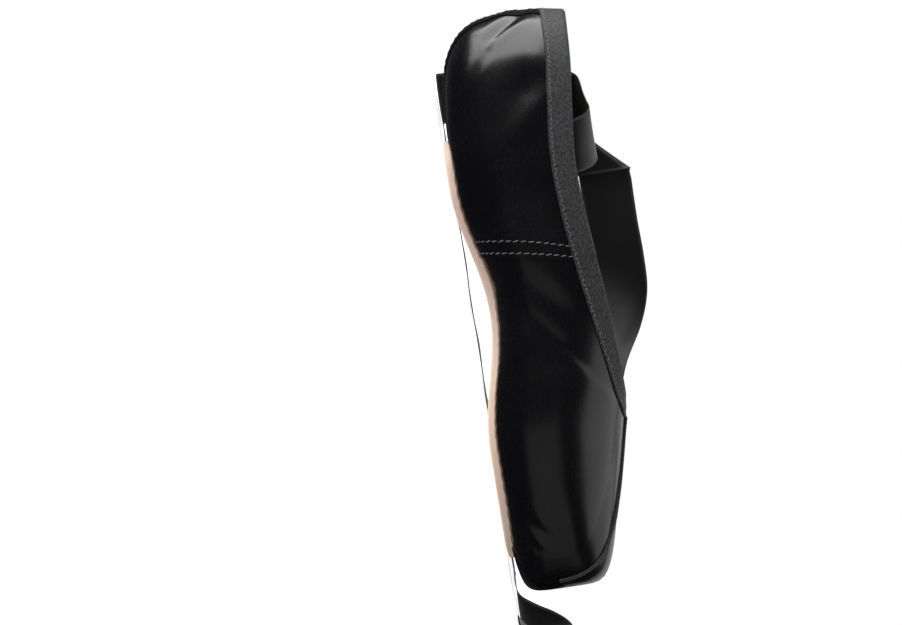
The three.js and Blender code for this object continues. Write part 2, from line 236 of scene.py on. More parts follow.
def satin_relief():
    """How far the satin stands off the last: pleats, folds, the wing's edge and the pull of the cloth."""
    at, high = LENGTH / 2 - skin[:, :, 0], skin[:, :, 2]
    side = np.sign(skin[:, :, 1])
    above_edge = all_heights[None, :] * wall_reach[:, None]
    place = ((all_places + 0.5) % 1 - 0.5)[:, None]
    relief = np.zeros(at.shape)
    for line, wide, deep, on in FOLDS:
        away, full = fold_depth(at, high, line)
        trough = np.exp(-((away / wide) ** 2))
        shoulder = 0.4 * np.exp(-(((away - 2 * wide) / wide) ** 2))
        relief -= full * deep * (trough - shoulder) * np.where((on == 0) | (side == on), 1.0, 0.0)
    edge_of_wing = np.interp(high, *np.array(WING_EDGE).T)
    relief += WING_STEP * soft_step(edge_of_wing - at, -2.5, 1.5)
    wander = 0.16 * np.sin(31 * place + 0.6) + 0.1 * np.sin(83 * place)
    turn = (place / PLEAT_REACH + 1) * PLEATS / 2 + wander
    part = turn % 1.0
    ridge = np.where(part < 0.8, (part / 0.8) ** 1.3, (1 - part) / 0.2)
    pleated = 1 - soft_step(np.abs(place), PLEAT_REACH - 0.012, PLEAT_REACH + 0.004)
    fade = 1 - soft_step(above_edge, 6.0, 17.0)
    relief += PLEAT_DEEP * (ridge - 0.45) * pleated * fade
    edge = skin[:, 0]
    edge_run = np.cumsum(np.linalg.norm(edge - np.roll(edge, 1, axis=0), axis=1))
    waves = round(edge_run[-1] / GATHER_STEP)
    gather = np.sin(2 * math.pi * waves * edge_run / edge_run[-1])[:, None]
    gather = gather * np.exp(-((above_edge / 5.0) ** 2))
    relief += GATHER_DEEP * gather * (1 - pleated)
    relief += UNEVEN_DEEP * np.sin(at / 7.3 + 0.9 * side) * np.sin(high / 6.1 + at / 23)
    relief += HEEL_WAVE * np.sin(high / 6.2 + 1.1) * soft_step(at, 203, 226)
    return relief


skin_out = outward(skin)
skin = skin + skin_out * satin_relief()[:, :, None]


def on_skin(places, heights, lift=0.0):
    """Points on the satin and their outward directions, at places round it and heights up it."""
    places, heights = np.broadcast_arrays(np.asarray(places, float), np.asarray(heights, float))
    here, along = np.divmod((places % 1.0) * PLACES, 1.0)
    here, along = here.astype(int) % PLACES, along[..., None]
    after = (here + 1) % PLACES
    level = np.clip(heights, 0, 1) * (HEIGHTS - 1)
    low = np.minimum(level.astype(int), HEIGHTS - 2)
    rise = (level - low)[..., None]

    def blend(table):
        below = table[here, low] * (1 - along) + table[after, low] * along
        above = table[here, low + 1] * (1 - along) + table[after, low + 1] * along
        return below * (1 - rise) + above * rise

    normal = unit(blend(skin_out))
    return blend(skin) + normal * np.asarray(lift, float)[..., None], normal


def at_places(places, table):
    """Values at places round the shoe, from a table with one value for each of all_places."""
    return np.interp(np.asarray(places, float) % 1.0, np.append(all_places, 1), np.append(table, table[0]))


def reach_at(places):
    """Length of the wall from the feather edge to the collar, in millimetres."""
    return at_places(places, wall_reach)


def laid_sheet(name, points, along, over):
    """A grid whose columns and rows are laid through points, with a UV map in metres along and over it."""
    columns, rows = points.shape[:2]
    bpy.ops.mesh.primitive_grid_add(x_subdivisions=columns - 1, y_subdivisions=rows - 1, size=1)
    sheet = bpy.context.object
    sheet.name = sheet.data.name = name
    flat = points.transpose(1, 0, 2).reshape(-1, 3) * MM
    sheet.data.vertices.foreach_set("co", flat.astype(np.float32).ravel())
    corner = np.zeros(len(sheet.data.loops), np.int32)
    sheet.data.loops.foreach_get("vertex_index", corner)
    uv = np.stack(np.broadcast_arrays(along, over), axis=2)
    flat_uv = uv.transpose(1, 0, 2).reshape(-1, 2) * MM
    sheet.data.uv_layers.active.data.foreach_set("uv", flat_uv[corner].astype(np.float32).ravel())
    sheet.data.update()
    return sheet


def merge_seam():
    """Joins the first and last columns of the sheet in hand, which lie on each other."""
    bpy.ops.object.mode_set(mode="EDIT")
    bpy.ops.mesh.select_all(action="SELECT")
    bpy.ops.mesh.remove_doubles(threshold=1e-6)
    bpy.ops.object.mode_set(mode="OBJECT")


def thicken(sheet, thickness, offset):
    """Gives a sheet its thickness in millimetres, inwards at offset -1 and outwards at offset 1."""
    wall = sheet.modifiers.new("thickness", "SOLIDIFY")
    wall.thickness = thickness * MM
    wall.offset = offset
    wall.use_even_offset = False
    wall.use_rim = True
    bpy.ops.object.modifier_apply(modifier=wall.name)


def put_on(piece, finish, slot, *nodes, sharp_from=50):
    """Finishes a piece: its shading, material and body, and hides the solids that it stands for. The slot is
    not used.
    """
    bpy.ops.object.shade_smooth_by_angle(angle=math.radians(sharp_from))
    piece.data.materials.append(finish.material)
    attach(piece, "root")
    if nodes:
        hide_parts(*nodes)
    bpy.ops.object.select_all(action="DESELECT")
    return piece


class Wire:
    """An output socket in a finish. Operators on it add Math nodes."""

    def __init__(self, finish, socket):
        self.finish, self.socket = finish, socket

    def __add__(self, other):
        return self.finish.math("ADD", self, other)

    def __mul__(self, other):
        return self.finish.math("MULTIPLY", self, other)

    def __sub__(self, other):
        return self.finish.math("SUBTRACT", self, other)

    def __rsub__(self, other):
        return self.finish.math("SUBTRACT", other, self)

    __radd__ = __add__
    __rmul__ = __mul__


class Finish:
    """A material. node() adds any node to it and gives back one of its outputs."""

    def __init__(self, name, constants):
        self.material = bpy.data.materials.new(name)
        self.material.use_nodes = True
        self.tree = self.material.node_tree
        self.shader = self.tree.nodes["Principled BSDF"]
        for socket, value in constants.items():
            self.shader.inputs[socket].default_value = value

    def node(self, kind, settings=None, inputs=None, output=0):
        made = self.tree.nodes.new(kind)
        for name, value in (settings or {}).items():
            setattr(made, name, value)
        for name, value in (inputs or {}).items():
            self.join(made.inputs[name], value)
        return Wire(self, made.outputs[output])

    def join(self, socket, value):
        if isinstance(value, Wire):
            self.tree.links.new(value.socket, socket)
        else:
            socket.default_value = value

    def math(self, operation, *values):
        return self.node("ShaderNodeMath", {"operation": operation}, dict(enumerate(values)))

    def step(self, value, low, high):
        """0 below low, 1 above high and smooth between them."""
        settings = {"interpolation_type": "SMOOTHSTEP"}
        return self.node("ShaderNodeMapRange", settings, {0: value, 1: low, 2: high})

    def mix(self, factor, first, second):
        return self.node("ShaderNodeMix", {"data_type": "RGBA"}, {0: factor, 6: first, 7: second}, 2)

    def noise(self, where, scale, detail=2.0, roughness=0.5):
        inputs = {"Vector": where, "Scale": scale, "Detail": detail, "Roughness": roughness}
        return self.node("ShaderNodeTexNoise", None, inputs)

    def place(self):
        return self.node("ShaderNodeTexCoord", None, None, "Object")

    def uv(self, scale=(1, 1, 1)):
        flat = self.node("ShaderNodeUVMap", {"uv_map": "UVMap"})
        return self.node("ShaderNodeMapping", None, {"Vector": flat, "Scale": scale})

    def axis(self, vector, output):
        return self.node("ShaderNodeSeparateXYZ", None, {0: vector}, output)

    def wave(self, value, period):
        """A wave from 0 to 1 with a period in the value's own unit."""
        return self.math("SINE", value * (2 * math.pi / period)) * 0.5 + 0.5

    def bump(self, height, strength, distance):
        inputs = {"Strength": strength, "Distance": distance, "Height": height}
        self.join(self.shader.inputs["Normal"], self.node("ShaderNodeBump", None, inputs))

    def set(self, **sockets):
        for name, value in sockets.items():
            self.join(self.shader.inputs[name.replace("_", " ")], value)


# Vamp and wall: one layer of black satin on canvas, drawn over the last and pleated under the toe.
# It runs all round the shoe, and the quarter is sewn on over its back half.
SATIN_THICK = 0.9
SATIN_BLACK = (0.0010, 0.0010, 0.0014, 1)
SATIN_SHEEN = (0.0026, 0.0026, 0.0034, 1)


def satin(name):
    """Black satin: fine floats along the wall, a soft gloss and a slight unevenness of the cloth."""
    cloth = Finish(name, {"Specular IOR Level": 0.5, "Sheen Weight": 0.02, "Sheen Roughness": 0.35})
    floats = cloth.noise(cloth.uv((1700, 900, 1)), 1.0, 3.0, 0.65)
    picks = cloth.wave(cloth.axis(cloth.uv(), "Y"), 0.00045)
    uneven = cloth.noise(cloth.place(), 55.0, 3.0, 0.55)
    streaks = cloth.step(cloth.noise(cloth.uv((420, 1500, 1)), 1.0, 2.0, 0.6), 0.3, 0.7)
    cloth.set(
        Base_Color=cloth.mix(uneven, SATIN_BLACK, SATIN_SHEEN),
        Roughness=0.17 + 0.05 * uneven + 0.04 * floats + 0.06 * streaks,
    )
    cloth.bump(floats * 0.8 + picks * 0.2, 0.22, 0.00005)
    return cloth


def wall_sheet(name, places, heights, lift):
    """A sheet over the last, its columns at places and its rows at heights, with the margin below it."""
    points, _ = on_skin(places[:, None], heights, lift)
    under = np.array([at_places(places, margin_line[:, axis]) for axis in range(3)]).T
    under[:, 2] -= lift
    points = np.concatenate([under[:, None], points], axis=1)
    up = np.column_stack([np.full(len(places), -TURNED_UNDER), heights * reach_at(places)[:, None]])
    return laid_sheet(name, points, run_along(points[:, points.shape[1] // 2])[:, None], up)


past_pleats = PLEAT_REACH + 0.01
fine_toe = np.linspace(past_pleats, -past_pleats, 261)
rest_of_wall = np.linspace(1 - past_pleats, past_pleats, 301)
wall_places = np.concatenate([rest_of_wall, fine_toe[1:]])
wall_heights = np.concatenate([np.linspace(0, 0.3, 30), np.linspace(0.3, 1, 34)[1:]])
satin_finish = satin("black_satin")
satin_upper = wall_sheet("satin_upper", wall_places, wall_heights, 0.0)
merge_seam()
thicken(satin_upper, SATIN_THICK, -1)
put_on(satin_upper, satin_finish, "satin", "upper")

# Lining: unbleached plain cotton, which the foot touches inside the satin.
# It is glued to the wall all round and turned under with it.
LINING_THICK = 0.5
LINING_DEEP = 1.25
COTTON = (0.60, 0.47, 0.33, 1)
COTTON_SHADE = (0.47, 0.36, 0.25, 1)
COTTON_THREAD = 0.0006


def cotton(name, flat=False):
    """Plain-woven cotton, a thread about every 0.6 mm each way, on the UV map or flat from above."""
    cloth = Finish(name, {"Specular IOR Level": 0.25, "Sheen Weight": 0.15, "Sheen Roughness": 0.5})
    threads = cloth.place() if flat else cloth.uv()
    across = cloth.wave(cloth.axis(threads, "X"), COTTON_THREAD)
    up = cloth.wave(cloth.axis(threads, "Y"), COTTON_THREAD)
    weave = cloth.math("MAXIMUM", across * (1 - up), up * (1 - across))
    worn = cloth.noise(cloth.place(), 60.0, 4.0, 0.6)
    colour = cloth.mix(worn * 0.7 + weave * 0.3, COTTON_SHADE, COTTON)
    cloth.set(Base_Color=colour, Roughness=0.8 + 0.12 * worn)
    cloth.bump(weave, 0.45, 0.00012)
    return cloth


cotton_finish = cotton("unbleached_cotton")
lining_places = np.linspace(1, 0, 261)
cotton_lining = wall_sheet("cotton_lining", lining_places, np.linspace(0, 1, 40), -LINING_DEEP)
merge_seam()
thicken(cotton_lining, LINING_THICK, -1)
put_on(cotton_lining, cotton_finish, "cotton", sharp_from=60)

# Quarter: the back half of the satin, cut as one piece and folded in along its front edge.
# It laps over the vamp at the side seam, where two rows of stitches hold it.
QUARTER_LIFT = 0.05
QUARTER_THICK = 0.45
SEAM_AT_EDGE = 141.0
SEAM_AT_COLLAR = 131.0


def seam_place(heights):
    """Place of the side seam on the right side at heights up the wall."""
    near = np.arange(PLACES // 2) / PLACES
    found = []
    for height in np.atleast_1d(heights):
        wanted = SEAM_AT_EDGE + (SEAM_AT_COLLAR - SEAM_AT_EDGE) * height**1.5
        points, _ = on_skin(near, height)
        found.append(np.interp(wanted, LENGTH / 2 - points[:, 0], near))
    return np.array(found)


quarter_heights = np.linspace(0, 1, 64)
halfway = len(quarter_heights) // 2
front = seam_place(quarter_heights)
quarter_places = front + np.linspace(1, 0, 221)[:, None] * (1 - 2 * front)
points, _ = on_skin(quarter_places, quarter_heights, QUARTER_LIFT)
up = quarter_heights * reach_at(quarter_places[:, halfway])[:, None]
satin_quarter = laid_sheet("satin_quarter", points, run_along(points[:, halfway])[:, None], up)
thicken(satin_quarter, QUARTER_THICK, 1)
put_on(satin_quarter, satin_finish, "satin")

# Side seam: two rows of grey thread that hold the quarter down on the vamp.
# Each stitch lies a little aslant, as a sewing machine lays it.
STITCH_LONG = 2.5
STITCH_STEP = 3.1
STITCH_THICK = 0.5
STITCH_LIFT = 0.05
STITCH_SLANTS = (0.26, 0.16)
SEAM_ROWS = (1.6, 5.6)
WAY_ROUND = 570.0
THREAD_GREY = (0.13, 0.13, 0.134, 1)


def thread(name, colour):
    """Twisted sewing thread with a dull gloss."""
    yarn = Finish(name, {"Specular IOR Level": 0.4, "Sheen Weight": 0.2})
    lint = yarn.noise(yarn.place(), 2600.0, 2.0)
    dark = tuple(0.55 * c for c in colour[:3]) + (1,)
    yarn.set(Base_Color=yarn.mix(lint, dark, colour), Roughness=0.5 + 0.2 * lint)
    yarn.bump(lint, 0.4, 0.00005)
    return yarn


def one_stitch(long, thick):
    """A single stitch: a ball drawn out along X, its ends bent down into the cloth."""
    bpy.ops.mesh.primitive_uv_sphere_add(segments=7, ring_count=8, radius=0.5)
    stitch = bpy.context.object
    bpy.ops.object.mode_set(mode="EDIT")
    bpy.ops.mesh.select_all(action="SELECT")
    bpy.ops.transform.rotate(value=math.pi / 2, orient_axis="Y", center_override=(0, 0, 0))
    bpy.ops.transform.resize(value=(long, thick, thick))
    bpy.ops.object.mode_set(mode="OBJECT")
    shape = np.array([v.co for v in stitch.data.vertices], float)
    shape[:, 2] += 0.5 * thick * (1 - (2 * shape[:, 0] / long) ** 2) - 0.15 * thick
    faces = [list(p.vertices) for p in stitch.data.polygons]
    bpy.data.objects.remove(stitch)
    return shape, faces


def even_steps(line, step):
    """Indices of the points of a dense line that lie about a step apart along it."""
    run = run_along(line)
    count = max(2, int(round(run[-1] / step)))
    return np.interp((np.arange(count) + 0.5) / count * run[-1], run, np.arange(len(line))).astype(int)


def sewn(name, rows, step, long, thick, slants=(0.0, 0.0)):
    """One mesh of stitches along rows of dense points and outward directions, each slant by turns."""
    centres, aheads, normals = [], [], []
    for line, out in rows:
        pick = even_steps(line, step)
        ahead = unit(np.gradient(line, axis=0)[pick])
        slant = np.where(np.arange(len(pick)) % 2 == 0, *slants)[:, None]
        centres.append(line[pick])
        aheads.append(ahead + slant * np.cross(out[pick], ahead))
        normals.append(out[pick])
    centres, ahead, normals = (np.vstack(each) for each in (centres, aheads, normals))
    ahead = unit(ahead - normals * np.sum(ahead * normals, axis=1, keepdims=True))
    side = np.cross(normals, ahead)
    shape, faces = one_stitch(long, thick)
    stack = (centres[:, None] + shape[None, :, :1] * ahead[:, None] + shape[None, :, 1:2] * side[:, None]
             + shape[None, :, 2:] * normals[:, None])
    count = len(shape)
    mesh = bpy.data.meshes.new(name)
    mesh.from_pydata((stack.reshape(-1, 3) * MM).tolist(), [],
                     [[v + k * count for v in face] for k in range(len(centres)) for face in faces])
    stitches = bpy.data.objects.new(name, mesh)
    bpy.context.scene.collection.objects.link(stitches)
    bpy.context.view_layer.objects.active = stitches
    stitches.select_set(True)
    return stitches


def seam_line(mirrored, behind):
    """Dense points, and outward directions, of a stitch row that lies behind the seam's edge."""
    heights = np.linspace(0.03, 0.86, 160)
    places = seam_place(heights) + behind / WAY_ROUND
    return on_skin(1 - places if mirrored else places, heights, QUARTER_LIFT + QUARTER_THICK + STITCH_LIFT)


grey_thread = thread("grey_thread", THREAD_GREY)
seam_rows = [seam_line(mirrored, behind) for mirrored in (False, True) for behind in SEAM_ROWS]
seam_stitches = sewn("seam_stitches", seam_rows, STITCH_STEP, STITCH_LONG, STITCH_THICK, STITCH_SLANTS)
put_on(seam_stitches, grey_thread, "satin", sharp_from=180)

# Heel strip: a narrow ribbed tape over the back seam, from the sole's heel end up to the collar.
# It covers the seam that closes the quarter.
STRIP_HALF = 9.5
STRIP_THICK = 0.4
STRIP_LIFT = QUARTER_LIFT + QUARTER_THICK + 0.03
STRIP_BLACK = (0.0016, 0.0016, 0.0019, 1)
STRIP_RIB = (0.0075, 0.0075, 0.0082, 1)


def from_heel(heights, distance):
    """Places that lie a distance round from the heel's middle, towards the left where it is positive."""
    found = []
    side = np.linspace(0.5, 0.8, 400)
    for height in np.atleast_1d(heights):
        line, _ = on_skin(side, height)
        found.append(np.interp(abs(distance), run_along(line), side) - 0.5)
    return 0.5 + math.copysign(1, distance) * np.array(found)


def ribbed(name):
    """Ribbed woven tape: fine ribs across it and a dull surface."""
    cloth = Finish(name, {"Specular IOR Level": 0.03})
    rib = cloth.wave(cloth.axis(cloth.uv(), "Y"), 0.0009)
    lint = cloth.noise(cloth.place(), 900.0, 3.0, 0.6)
    ribs = rib * 0.6 + lint * 0.4
    cloth.set(Base_Color=cloth.mix(ribs, STRIP_BLACK, STRIP_RIB), Roughness=0.5 + 0.15 * lint)
    cloth.bump(ribs, 0.4, 0.00010)
    return cloth


strip_heights = np.linspace(0.0, 0.955, 70)
strip_rounds = np.linspace(-STRIP_HALF, STRIP_HALF, 21)
strip_places = np.array([from_heel(strip_heights, distance) for distance in strip_rounds[::-1]])
points, _ = on_skin(strip_places, strip_heights, STRIP_LIFT)
heel_strip = laid_sheet("heel_strip", points, strip_rounds[:, None], strip_heights * reach_at(0.5))
thicken(heel_strip, STRIP_THICK, 1)
put_on(heel_strip, ribbed("ribbed_tape"), "tape")

# Strip stitches: four rows of black thread that hold the heel strip down.
# They are pulled tight, so part of each lies in the cloth.
STRIP_ROWS = (-6.1, -2.1, 2.1, 6.1)
STRIP_STITCH_LONG = 2.3
STRIP_STITCH_STEP = 3.2
STRIP_STITCH_THICK = 0.34
STRIP_STITCH_SUNK = 0.08
THREAD_BLACK = (0.030, 0.030, 0.031, 1)
black_thread = thread("black_thread", THREAD_BLACK)
heights = np.linspace(0.05, 0.95, 200)
lift = STRIP_LIFT + STRIP_THICK - STRIP_STITCH_SUNK
strip_rows = [on_skin(from_heel(heights, distance), heights, lift) for distance in STRIP_ROWS]
strip_stitches = sewn(
    "strip_stitches", strip_rows, STRIP_STITCH_STEP, STRIP_STITCH_LONG, STRIP_STITCH_THICK)
put_on(strip_stitches, black_thread, "tape", sharp_from=180)

# Collar tape: a matt twill tape folded over the collar's edge and sewn through.
# It binds the edge and is the casing in which the drawstring runs.
TAPE_WIDE = 9.0
TAPE_THICK = 0.55
TAPE_LIFT = 0.08
OUTER_ROWS = 10
TAPE_DARK = (0.003, 0.003, 0.0033, 1)
TAPE_LIGHT = (0.052, 0.052, 0.055, 1)


def tape_lift(places):
    """The tape rises where it passes from the vamp on to the quarter."""
    near = np.minimum(places % 1.0, 1 - places % 1.0)
    over = QUARTER_LIFT + QUARTER_THICK
    seam = seam_place(0.93)[0]
    return TAPE_LIFT + over * soft_step(near, seam - 0.004, seam + 0.004)


def tape_section(places):
    """Points of the folded tape at each place, from its outer edge over the collar to its inner edge."""
    lift = tape_lift(places)
    reach = reach_at(places)
    rows = []
    for below in np.linspace(TAPE_WIDE, 0.6, OUTER_ROWS):
        rows.append(on_skin(places, 1 - below / reach, lift)[0])
    top, out = on_skin(places, 1.0)
    under, _ = on_skin(places, 1 - 3.0 / reach)
    rise = unit(top - under)
    middle = top - out * (WALL - lift[:, None]) / 2
    half = (WALL + lift) / 2 + 0.12
    for turn in np.linspace(0.12, 0.88, 7) * math.pi:
        rows.append(middle + half[:, None] * (out * math.cos(turn) + rise * 1.15 * math.sin(turn)))
    for below in np.linspace(0.8, TAPE_WIDE - 0.6, 8):
        rows.append(on_skin(places, 1 - below / reach, -WALL - 0.2)[0])
    return np.stack(rows, axis=1)


def twill(name):
    """Matt black twill tape, its diagonal ribs about 0.9 mm apart and its yarn uneven."""
    cloth = Finish(name, {"Specular IOR Level": 0.32})
    flat = cloth.uv()
    along, over = cloth.axis(flat, "X"), cloth.axis(flat, "Y")
    rib = cloth.wave(along * 0.75 + over, 0.0009)
    yarn = cloth.step(cloth.noise(cloth.uv((800, 950, 1)), 1.0, 2.0, 0.6), 0.32, 0.70)
    colour = cloth.mix(rib * 0.25 + yarn * 0.65, TAPE_DARK, TAPE_LIGHT)
    cloth.set(Base_Color=colour, Roughness=0.62 - 0.2 * yarn)
    cloth.bump(rib * 0.4 + yarn * 0.6, 0.7, 0.00025)
    return cloth


tape_places = np.linspace(1, 0, 521)
points = tape_section(tape_places)
along = run_along(points[:, OUTER_ROWS - 1])[:, None]
folded_tape = laid_sheet("folded_tape", points, along, run_along(points))
merge_seam()
thicken(folded_tape, TAPE_THICK, 1)
put_on(folded_tape, twill("twill_tape"), "tape", "collar_tape")

# Tape stitches: a small zigzag of dull grey thread just inside the tape's lower edge.
# It goes through both layers of the tape and the wall between them.
TAPE_STITCH_BELOW = 7.7
TAPE_STITCH_LONG = 1.7
TAPE_STITCH_STEP = 1.9
TAPE_STITCH_THICK = 0.36
ZIGZAG = (0.75, -0.75)
THREAD_DULL = (0.15, 0.15, 0.155, 1)
tape_thread = thread("tape_thread", THREAD_DULL)
places = np.linspace(0, 1, 3001)
tape_row = on_skin(places, 1 - TAPE_STITCH_BELOW / reach_at(places), tape_lift(places) + TAPE_THICK)
tape_stitches = sewn(
    "tape_stitches", [tape_row], TAPE_STITCH_STEP, TAPE_STITCH_LONG, TAPE_STITCH_THICK, ZIGZAG)
put_on(tape_stitches, tape_thread, "tape", sharp_from=180)

# Outsole: one piece of undyed leather, sewn on through needle holes round its edge.
# Its tread is scored in crossed double lines so that it grips.
SOLE_PROUD = 0.8
SOLE_POINTS = 264
SOLE_PRESSED_IN = 0.15
SOLE_BEVEL = 0.8
NEEDLE_INSET = 4.5
NEEDLE_EVERY = 4
NEEDLE_WIDE = 0.72
NEEDLE_DEEP = 0.9
GROOVE_HALF = 0.6
GROOVE_DEEP = 0.16
INNER_ROW_INSET = 3.2
INNER_ROW_TO = 60.0
MANY_CORNERS = 60
LEATHER = (0.81, 0.62, 0.505, 1)
LEATHER_WARM = (0.74, 0.53, 0.415, 1)
# The sole's side faces are coloured darker than the tread: painted shade that holds down the strong light
# falling on them
SHADED_EDGE_LEATHER = (0.66, 0.50, 0.41, 1)
# Needle holes are coloured near black: painted shade inside the holes and round their rims
NEEDLE_HOLE_SHADE = (0.035, 0.020, 0.014, 1)


def outline(outset, count):
    """Points spaced evenly round the feather edge, moved outwards, from the toe centre."""
    line = feather_edge(np.arange(6000) / 6000)[:, :2]
    ahead = unit(np.roll(line, -1, axis=0) - np.roll(line, 1, axis=0))
    line = line + outset * np.column_stack([-ahead[:, 1], ahead[:, 0]])
    line = np.vstack([line, line[:1]])
    run = run_along(line)
    even = np.arange(count) / count * run[-1]
    return np.column_stack([np.interp(even, run, line[:, 0]), np.interp(even, run, line[:, 1])])


def choose(piece, kind, test):
    """Selects the vertices, edges or faces of a piece that pass a test, and leaves it in edit mode."""
    bpy.ops.object.mode_set(mode="EDIT")
    bpy.ops.mesh.select_mode(type=kind)
    bpy.ops.mesh.select_all(action="DESELECT")
    bpy.ops.object.mode_set(mode="OBJECT")
    parts = {"VERT": piece.data.vertices, "EDGE": piece.data.edges, "FACE": piece.data.polygons}[kind]
    for part in parts:
        part.select = bool(test(part))
    bpy.ops.object.mode_set(mode="EDIT")


def blank(name, outset, count, thick):
    """A flat blank cut to the shape of the sole, with its lower face at z = 0."""
    bpy.ops.mesh.primitive_circle_add(vertices=count, radius=0.05, fill_type="NGON")
    piece = bpy.context.object
    piece.name = piece.data.name = name
    for vertex, (x, y) in zip(piece.data.vertices, outline(outset, count)):
        vertex.co = (x * MM, y * MM, 0)
    bpy.ops.object.mode_set(mode="EDIT")
    bpy.ops.mesh.select_all(action="SELECT")
    bpy.ops.mesh.extrude_region_move(TRANSFORM_OT_translate={"value": (0, 0, thick * MM)})
    bpy.ops.mesh.select_all(action="SELECT")
    bpy.ops.mesh.normals_make_consistent(inside=False)
    bpy.ops.object.mode_set(mode="OBJECT")
    return piece


def round_rim(piece, level, offset):
    """Rounds the rim of a blank that lies at a level."""
    def on_rim(edge):
        return all(abs(piece.data.vertices[v].co.z - level * MM) < 1e-7 for v in edge.vertices)
    choose(piece, "EDGE", on_rim)
    bpy.ops.mesh.bevel(offset=offset * MM, offset_type="OFFSET", segments=3, affect="EDGES")


def rungs(piece):
    """Replaces each face with a great many corners by straight rungs from side to side."""
    while True:
        bpy.ops.object.mode_set(mode="OBJECT")
        large = [face for face in piece.data.polygons if len(face.vertices) > MANY_CORNERS]
        if not large:
            return
        number = large[0].index
        rim = {tuple(sorted(key)) for key in large[0].edge_keys}
        choose(piece, "FACE", lambda face: face.index == number)
        bpy.ops.mesh.delete(type="ONLY_FACE")
        bpy.ops.object.mode_set(mode="OBJECT")

        def one_side(edge):
            a, b = (piece.data.vertices[v].co for v in edge.vertices)
            same = a.y * b.y > 0 and min(abs(a.y), abs(b.y)) > 1e-6
            return same and tuple(sorted(edge.vertices)) in rim
        choose(piece, "EDGE", one_side)
        bpy.ops.mesh.bridge_edge_loops()
        bpy.ops.mesh.select_all(action="SELECT")
        bpy.ops.mesh.fill_holes(sides=4)


def lay_on_last(piece, height):
    """Bends a flat blank along the arch and lifts it to its height over the sole's underside."""
    bpy.ops.object.mode_set(mode="EDIT")
    bpy.ops.mesh.select_all(action="SELECT")
    bpy.ops.mesh.normals_make_consistent(inside=False)
    bpy.ops.object.mode_set(mode="OBJECT")
    for vertex in piece.data.vertices:
        vertex.co.z += (float(underside(LENGTH / 2 - vertex.co.x / MM)) + height) * MM
    piece.data.update()


# Each band of scored lines: distance back and half-width at its toe end, the same at its heel end
SCORE_TAN = (0.46, 0.31, 0.13, 1)
SCORE_STEP = 0.0121
SCORE_PAIR = 0.0034
SCORE_HALF = 0.00020
SCORE_SLOPE = 0.66
SCORE_BANDS = ((22.5, 13.0, 53.0, 22.0), (61.0, 21.5, 96.0, 13.5))


def score_marks(hide, place):
    """1 on the scored lines: two crossed families of double lines in two bands of the forefoot."""
    x, y = hide.axis(place, "X"), hide.axis(place, "Y")
    lines = None
    for slope in (SCORE_SLOPE, -SCORE_SLOPE):
        across = y + x * slope
        for shift in (0.0, SCORE_PAIR):
            away = hide.math("PINGPONG", across + shift + SCORE_STEP * 20, SCORE_STEP / 2)
            line = 1 - hide.step(away, SCORE_HALF, SCORE_HALF * 1.9)
            lines = line if lines is None else hide.math("MAXIMUM", lines, line)
    inside = None
    ragged = hide.noise(place, 160.0, 1.0) * 0.006 - 0.003
    for near, near_half, far, far_half in SCORE_BANDS:
        middle, deep = LENGTH / 2 - (near + far) / 2, (far - near) / 2
        along = hide.math("ABSOLUTE", x - middle * MM + ragged) - deep * MM
        slope = (near_half - far_half) / (far - near)
        half = (x - middle * MM) * slope + (near_half + far_half) / 2 * MM
        wide = hide.math("ABSOLUTE", y) + ragged - half
        band = 1 - hide.step(hide.math("MAXIMUM", along, wide), -0.0002, 0.0002)
        inside = band if inside is None else hide.math("MAXIMUM", inside, band)
    return lines * inside


def leather(name, base, warm, scored):
    """Undyed leather: a fine grain, a slight flush of colour and, on the tread, the scored lines."""
    hide = Finish(name, {"Specular IOR Level": 0.35})
    place = hide.place()
    flush = hide.noise(place, 38.0, 4.0, 0.55)
    grain = hide.noise(place, 1500.0, 4.0, 0.65)
    drawn_out = hide.node("ShaderNodeMapping", None, {"Vector": place, "Scale": (900, 90, 90)})
    growth = hide.noise(drawn_out, 1.0, 2.0)
    colour = hide.mix(flush * 0.75 + grain * 0.25, base, warm)
    height = grain * 0.5 + growth * 0.35
    if scored:
        mark = score_marks(hide, place)
        colour = hide.mix(mark * 0.85, colour, SCORE_TAN)
        height = height - mark * 1.6
    hide.set(Base_Color=colour, Roughness=0.55 + 0.2 * grain)
    hide.bump(height, 0.35, 0.00025)
    return hide


sole_blank = SOLE_THICK + CLEARANCE + SOLE_PRESSED_IN
leather_outsole = blank("leather_outsole", SOLE_PROUD, SOLE_POINTS, sole_blank)
rim_points = outline(SOLE_PROUD, SOLE_POINTS)
round_rim(leather_outsole, 0, SOLE_BEVEL)
choose(leather_outsole, "FACE", lambda face: len(face.vertices) > MANY_CORNERS and face.normal.z < -0.9)
for clear in (NEEDLE_INSET - SOLE_BEVEL - GROOVE_HALF, INNER_ROW_INSET - 2 * GROOVE_HALF):
    bpy.ops.mesh.inset(thickness=clear * MM, use_even_offset=True)
    bpy.ops.mesh.inset(thickness=GROOVE_HALF * MM, depth=-GROOVE_DEEP * MM, use_even_offset=True)
    bpy.ops.mesh.inset(thickness=GROOVE_HALF * MM, depth=GROOVE_DEEP * MM, use_even_offset=True)
bpy.ops.object.mode_set(mode="OBJECT")


def from_rim(vertex):
    """Distances of a vertex from the points of the sole's rim."""
    return np.hypot(*(rim_points - np.array(vertex.co[:2]) / MM).T)


def in_groove(vertex):
    return abs(vertex.co.z - GROOVE_DEEP * MM) < 1e-6


def behind_inner_row(vertex):
    """Is it on the inner groove, further back than the holes of that row go?"""
    inner = from_rim(vertex).min() > NEEDLE_INSET + INNER_ROW_INSET / 2
    return inner and LENGTH / 2 - vertex.co.x / MM > INNER_ROW_TO


def needle_corner(vertex):
    """Every few corners along the bottom of a groove there is a needle hole."""
    return in_groove(vertex) and from_rim(vertex).argmin() % NEEDLE_EVERY == 0


